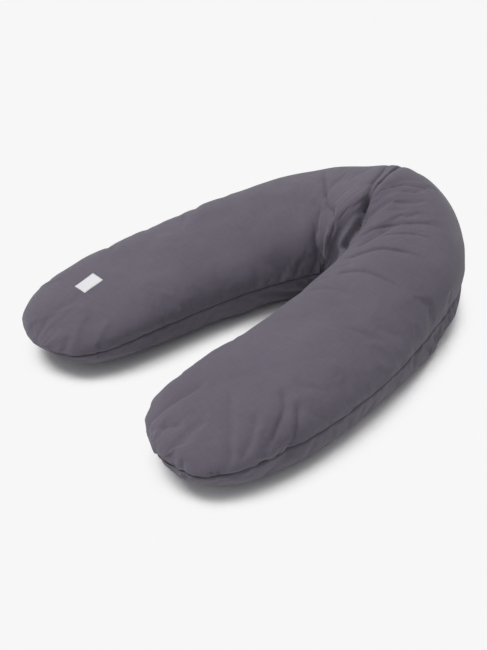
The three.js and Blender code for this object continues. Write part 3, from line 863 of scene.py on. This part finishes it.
def finish_zip_metal(frame):
    for name in ("zip_slider", "zip_pull", "zip_top_stop_upper", "zip_top_stop_lower", "zip_bottom_stop"):
        node = frame["nodes"][name]
        bevel = node.modifiers.new("edges", "BEVEL")
        bevel.width = 0.0002
        bevel.segments = 2
        bevel.limit_method = "ANGLE"
        paint(node, painted_zinc())
    for name in ("zip_tape_upper", "zip_tape_lower"):
        paint(frame["nodes"][name], woven_tape())


def paint(node, material):
    node.data.materials.clear()
    node.data.materials.append(material)


# ---------------------------------------------------------------- labels


def label_grid(panel, distance, arc, size, turn, lifts):
    """A rectangle of cloth laid on a panel: points, normals and uvs. Lifts hold it off the cover."""
    length, width = size
    columns, rows = np.linspace(-0.5, 0.5, LABEL_COLUMNS), np.linspace(-0.5, 0.5, LABEL_ROWS)
    across, along = np.meshgrid(columns * width, rows * length)
    run_stretch, rise_stretch = panel.stretch(-distance, arc)
    run = (along * math.cos(turn) - across * math.sin(turn)) / run_stretch
    rise = (along * math.sin(turn) + across * math.cos(turn)) / rise_stretch
    points, normals = panel.at(-distance - run, arc + rise)
    edge = np.minimum(length / 2 - np.abs(along), width / 2 - np.abs(across))
    folded = smooth_ramp(edge, 0.0, 0.0006) - 0.45 * smooth_ramp(edge, 0.0046, 0.0056)
    points = points + normals * (LABEL_THICKNESS + lifts + 0.0004 * folded)[..., None]
    return points, normals, np.stack([along, across], axis=-1)


def label_stitches(points, normals):
    """Stitches along all four edges of a label, one grid step in."""
    box, facing = points[1:-1, 1:-1], normals[1:-1, 1:-1]
    runs = []
    for pick in ((0, slice(None)), (slice(None), -1), (-1, slice(None)), (slice(None), 0)):
        runs += stitch_run(box[pick], facing[pick], 0.0022, 0.0008, LABEL_THREAD)
    return runs


def make_labels(panels):
    arc = float(np.interp(BRAND_LABEL_ANGLE, ARC_ANGLES, ARC_LENGTHS))
    flat = np.zeros((LABEL_ROWS, LABEL_COLUMNS))
    grid = label_grid(panels["top"], BRAND_LABEL_DISTANCE, arc, BRAND_LABEL_SIZE, 0.0, flat)
    stitches = label_stitches(grid[0], grid[1])
    add_label("brand_label_cloth", "brand_label", grid, stitches)
    hang = np.linspace(0.0030, 0.0006, LABEL_ROWS)[:, None] * np.ones((1, LABEL_COLUMNS))
    arc = CARE_LABEL_SIZE[1] / 2 + 0.0015
    turn = math.pi / 2 + math.radians(6)
    grid = label_grid(panels["bottom"], CARE_LABEL_DISTANCE, arc, CARE_LABEL_SIZE[::-1], turn, hang[::-1])
    add_label("care_label_cloth", "care_label", grid, [])


def add_label(name, node, grid, stitches):
    points, normals, uvs = grid
    label = add_sheet(name, points, normals, LABEL_THICKNESS, uvs)
    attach(label, "left_half")
    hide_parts(node)
    label.data.materials.append(label_satin())
    if stitches:
        thread = add_wires(f"{node}_stitches", stitches, LABEL_THREAD)
        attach(thread, "left_half")
        thread.data.materials.append(sewing_thread("label_thread", (0.62, 0.62, 0.64, 1)))


# ---------------------------------------------------------------- materials

BACKDROP_WHITE = (0.93, 0.93, 0.93, 1.0)

# The floor's shadow band: how far off a thing can shade it, and the openness where it starts and ends.
SHADOW_REACH = 0.12
SHADOW_OPENNESS = (0.45, 0.63)


class Nodes:
    """A material's node tree, with short calls for the nodes and links that the cloths share."""

    def __init__(self, name, color, roughness):
        self.material = bpy.data.materials.new(name)
        self.material.use_nodes = True
        self.tree = self.material.node_tree
        self.shader = self.tree.nodes["Principled BSDF"]
        self.shader.inputs["Base Color"].default_value = color
        self.shader.inputs["Roughness"].default_value = roughness

    def add(self, kind, inputs=(), **settings):
        node = self.tree.nodes.new(kind)
        for name, value in settings.items():
            setattr(node, name, value)
        for name, value in dict(inputs).items():
            if isinstance(value, bpy.types.NodeSocket):
                self.tree.links.new(value, node.inputs[name])
            else:
                node.inputs[name].default_value = value
        return node

    def math(self, operation, first, second):
        return self.add("ShaderNodeMath", {0: first, 1: second}, operation=operation).outputs[0]

    def scaled(self, coordinates, scale):
        return self.add("ShaderNodeMapping", {"Vector": coordinates, "Scale": scale}).outputs[0]

    def noise(self, coordinates, scale, detail=3.0):
        inputs = {"Vector": coordinates, "Scale": scale, "Detail": detail}
        return self.add("ShaderNodeTexNoise", inputs).outputs["Fac"]

    def tinted(self, share, dark, light):
        """Base colour between two colours, by a value from 0 to 1."""
        ramp_node = self.add("ShaderNodeValToRGB", {"Fac": share})
        ramp_node.color_ramp.elements[0].position = 0.3
        ramp_node.color_ramp.elements[0].color = dark
        ramp_node.color_ramp.elements[1].position = 0.7
        ramp_node.color_ramp.elements[1].color = light
        self.tree.links.new(ramp_node.outputs["Color"], self.shader.inputs["Base Color"])

    def bump(self, height, distance, strength):
        inputs = {"Height": height, "Distance": distance, "Strength": strength}
        normal = self.add("ShaderNodeBump", inputs).outputs["Normal"]
        self.tree.links.new(normal, self.shader.inputs["Normal"])

    def weave(self, coordinates, pitch):
        """Height of a plain weave: warp over weft, then weft over warp."""
        parts = self.add("ShaderNodeSeparateXYZ", {"Vector": coordinates}).outputs
        waves = []
        for axis in (0, 1):
            turned = self.math("MULTIPLY", parts[axis], 2 * math.pi / pitch)
            waves.append(self.math("SINE", turned, 0.0))
        return self.math("MULTIPLY", waves[0], waves[1])


def cotton(name, dark, light, pitch, bump, sheen):
    nodes = Nodes(name, light, 0.88)
    cloth = nodes.add("ShaderNodeTexCoord").outputs["UV"]
    space = nodes.add("ShaderNodeTexCoord").outputs["Object"]
    slubs = nodes.noise(nodes.scaled(cloth, (260.0, 26.0, 1.0)), 1.0, 4.0)
    cross_slubs = nodes.noise(nodes.scaled(cloth, (26.0, 260.0, 1.0)), 1.0, 4.0)
    yarn = nodes.math("ADD", slubs, cross_slubs)
    mottle = nodes.noise(space, 9.0, 4.0)
    share = nodes.math("ADD", nodes.math("MULTIPLY", yarn, 0.3), nodes.math("MULTIPLY", mottle, 0.4))
    nodes.tinted(share, dark, light)
    woven = nodes.weave(cloth, pitch)
    crumple = nodes.noise(space, 55.0, 5.0)
    height = nodes.math("ADD", nodes.math("MULTIPLY", woven, 0.25), nodes.math("MULTIPLY", yarn, 0.5))
    height = nodes.math("ADD", height, nodes.math("MULTIPLY", crumple, 1.4))
    nodes.bump(height, bump, 0.5)
    nodes.shader.inputs["Sheen Weight"].default_value = sheen
    nodes.shader.inputs["Sheen Roughness"].default_value = 0.45
    nodes.shader.inputs["Specular IOR Level"].default_value = 0.25
    return nodes.material


def cover_cotton():
    dark, light = (0.118, 0.104, 0.134, 1), (0.158, 0.140, 0.178, 1)
    return cotton("cover_cotton", dark, light, pitch=0.0009, bump=0.0006, sheen=0.22)


def casing_cotton():
    dark, light = (0.70, 0.67, 0.60, 1), (0.80, 0.78, 0.71, 1)
    return cotton("casing_cotton", dark, light, pitch=0.0007, bump=0.0004, sheen=0.1)


def filling_fibre():
    nodes = Nodes("filling_fibre", (0.88, 0.87, 0.84, 1), 0.95)
    space = nodes.add("ShaderNodeTexCoord").outputs["Object"]
    fibres = nodes.noise(nodes.scaled(space, (300.0, 300.0, 60.0)), 1.0, 6.0)
    nodes.tinted(fibres, (0.80, 0.79, 0.76, 1), (0.93, 0.92, 0.90, 1))
    nodes.bump(fibres, 0.002, 0.8)
    nodes.shader.inputs["Sheen Weight"].default_value = 0.3
    return nodes.material


def woven_tape():
    nodes = Nodes("zip_tape", (0.10, 0.088, 0.115, 1), 0.7)
    space = nodes.add("ShaderNodeTexCoord").outputs["Object"]
    wave = nodes.add("ShaderNodeTexWave", {"Vector": space, "Scale": 400.0}, bands_direction="Z")
    ribs = wave.outputs["Fac"]
    fuzz = nodes.noise(space, 900.0)
    nodes.tinted(fuzz, (0.085, 0.075, 0.100, 1), (0.120, 0.106, 0.136, 1))
    nodes.bump(nodes.math("ADD", ribs, fuzz), 0.0002, 0.6)
    return nodes.material


def nylon():
    nodes = Nodes("zip_nylon", (0.095, 0.085, 0.11, 1), 0.34)
    space = nodes.add("ShaderNodeTexCoord").outputs["Object"]
    nodes.bump(nodes.noise(space, 1500.0), 0.00005, 0.4)
    return nodes.material


def painted_zinc():
    nodes = Nodes("zip_paint", (0.15, 0.14, 0.165, 1), 0.32)
    space = nodes.add("ShaderNodeTexCoord").outputs["Object"]
    peel = nodes.noise(space, 1200.0)
    nodes.tinted(peel, (0.135, 0.126, 0.150, 1), (0.165, 0.154, 0.180, 1))
    nodes.bump(peel, 0.00004, 0.4)
    nodes.shader.inputs["Coat Weight"].default_value = 0.3
    return nodes.material


def label_satin():
    nodes = Nodes("label_satin", (0.80, 0.80, 0.82, 1), 0.42)
    cloth = nodes.add("ShaderNodeTexCoord").outputs["UV"]
    ribs = nodes.weave(cloth, 0.0006)
    floats = nodes.noise(nodes.scaled(cloth, (300.0, 2600.0, 1.0)), 1.0, 3.0)
    nodes.tinted(floats, (0.74, 0.745, 0.77, 1), (0.86, 0.86, 0.875, 1))
    nodes.bump(nodes.math("ADD", ribs, floats), 0.0001, 0.5)
    nodes.shader.inputs["Sheen Weight"].default_value = 0.15
    return nodes.material


def sewing_thread(name, color):
    nodes = Nodes(name, color, 0.6)
    space = nodes.add("ShaderNodeTexCoord").outputs["Object"]
    twist = nodes.noise(space, 2500.0)
    nodes.bump(twist, 0.0001, 0.6)
    nodes.shader.inputs["Sheen Weight"].default_value = 0.2
    return nodes.material


def floor_paint():
    """White paint. The camera sees it evenly lit, except in a narrow band round whatever rests on it."""
    nodes = Nodes("floor_paint", (0.91, 0.91, 0.91, 1), 0.9)
    space = nodes.add("ShaderNodeTexCoord").outputs["Object"]
    nodes.tinted(nodes.noise(space, 1.5), (0.905, 0.905, 0.905, 1), (0.915, 0.915, 0.915, 1))
    nodes.shader.inputs["Specular IOR Level"].default_value = 0.1
    openness = nodes.add("ShaderNodeAmbientOcclusion", {"Distance": SHADOW_REACH}, samples=12).outputs["AO"]
    limits = {"Value": openness, "From Min": SHADOW_OPENNESS[0], "From Max": SHADOW_OPENNESS[1]}
    clear = nodes.add("ShaderNodeMapRange", limits, interpolation_type="SMOOTHSTEP").outputs["Result"]
    seen = nodes.add("ShaderNodeLightPath").outputs["Is Camera Ray"]
    backdrop = nodes.add("ShaderNodeEmission", {"Color": BACKDROP_WHITE}).outputs[0]
    share = nodes.math("MULTIPLY", clear, seen)
    mixed = nodes.add("ShaderNodeMixShader", {0: share, 1: nodes.shader.outputs[0], 2: backdrop})
    nodes.tree.links.new(mixed.outputs[0], nodes.tree.nodes["Material Output"].inputs["Surface"])
    return nodes.material


# ---------------------------------------------------------------- camera, floor and light

CAMERA_AZIMUTH = math.radians(48.79)
CAMERA_ELEVATION = math.radians(36.49)
CAMERA_TARGET = (0.0, 0.0548, 0.08)
CAMERA_DISTANCE = 2.376
CAMERA_SHIFT = (-0.0746, -0.0533)

FLOOR_HALF = 8.0
FLOOR_LEVEL = -0.0004
SKY_STRENGTH = 0.42
KEY_TOWARDS = (-0.34, -0.24, 0.92)
KEY_STRENGTH = 1.95
KEY_SOFTNESS = math.radians(30)


def make_camera():
    azimuth, elevation = CAMERA_AZIMUTH, CAMERA_ELEVATION
    level = math.cos(elevation)
    back = Vector((math.sin(azimuth) * level, -math.cos(azimuth) * level, math.sin(elevation)))
    data = bpy.data.cameras.new("camera")
    data.sensor_width = 36.0
    data.lens = 60.0
    data.shift_x, data.shift_y = CAMERA_SHIFT
    camera = bpy.data.objects.new("camera", data)
    bpy.context.scene.collection.objects.link(camera)
    camera.location = Vector(CAMERA_TARGET) + back * CAMERA_DISTANCE
    camera.rotation_mode = "QUATERNION"
    camera.rotation_quaternion = (-back).to_track_quat("-Z", "Y")
    bpy.context.scene.camera = camera


def add_sun(name, towards, strength, softness):
    """A soft distant light; towards is the direction from the pillow to it."""
    data = bpy.data.lights.new(name, "SUN")
    data.energy = strength
    data.angle = softness
    lamp = bpy.data.objects.new(name, data)
    bpy.context.scene.collection.objects.link(lamp)
    lamp.rotation_mode = "QUATERNION"
    lamp.rotation_quaternion = (-Vector(towards)).to_track_quat("-Z", "Y")


def make_sky():
    """Even white light from all round, with a backdrop as pale as the floor."""
    world = bpy.data.worlds.new("studio")
    world.use_nodes = True
    nodes, links = world.node_tree.nodes, world.node_tree.links
    light = nodes["Background"]
    light.inputs["Strength"].default_value = SKY_STRENGTH
    light.inputs["Color"].default_value = (1.0, 1.0, 1.0, 1.0)
    backdrop = nodes.new("ShaderNodeBackground")
    backdrop.inputs["Color"].default_value = BACKDROP_WHITE
    seen = nodes.new("ShaderNodeLightPath")
    chosen = nodes.new("ShaderNodeMixShader")
    links.new(seen.outputs["Is Camera Ray"], chosen.inputs[0])
    links.new(light.outputs[0], chosen.inputs[1])
    links.new(backdrop.outputs[0], chosen.inputs[2])
    links.new(chosen.outputs[0], nodes["World Output"].inputs["Surface"])
    bpy.context.scene.world = world


def make_studio():
    signs = ((-1, -1), (1, -1), (1, 1), (-1, 1))
    corners = [(x * FLOOR_HALF, y * FLOOR_HALF, FLOOR_LEVEL) for x, y in signs]
    floor = add_object("floor", corners, [(0, 1, 2, 3)])
    floor.data.materials.append(floor_paint())
    make_sky()
    add_sun("key", KEY_TOWARDS, KEY_STRENGTH, KEY_SOFTNESS)
    bpy.context.scene.view_settings.view_transform = "Standard"


# ---------------------------------------------------------------- the whole scene


def main():
    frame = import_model()
    cad_low, cad_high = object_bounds()
    apex_y = cad_high.y - PILLOW_WIDTH / 2
    make_camera()
    make_studio()
    drift = simulated_drift(apex_y)
    rows, arcs = spaced_rows(BEND_STEP, ARM_STEP), panel_columns()
    panels = {
        "top": Panel(1, rows, arcs, apex_y, drift),
        "bottom": Panel(-1, rows, arcs, apex_y, drift),
    }
    cloth = cover_cotton()
    for piece in make_cover(panels).values():
        piece.data.materials.append(cloth)
    make_casing(panels)
    make_filling(panels)
    make_zip_coils(apex_y)
    make_zip_topstitching(panels)
    finish_zip_metal(frame)
    make_labels(panels)


main()
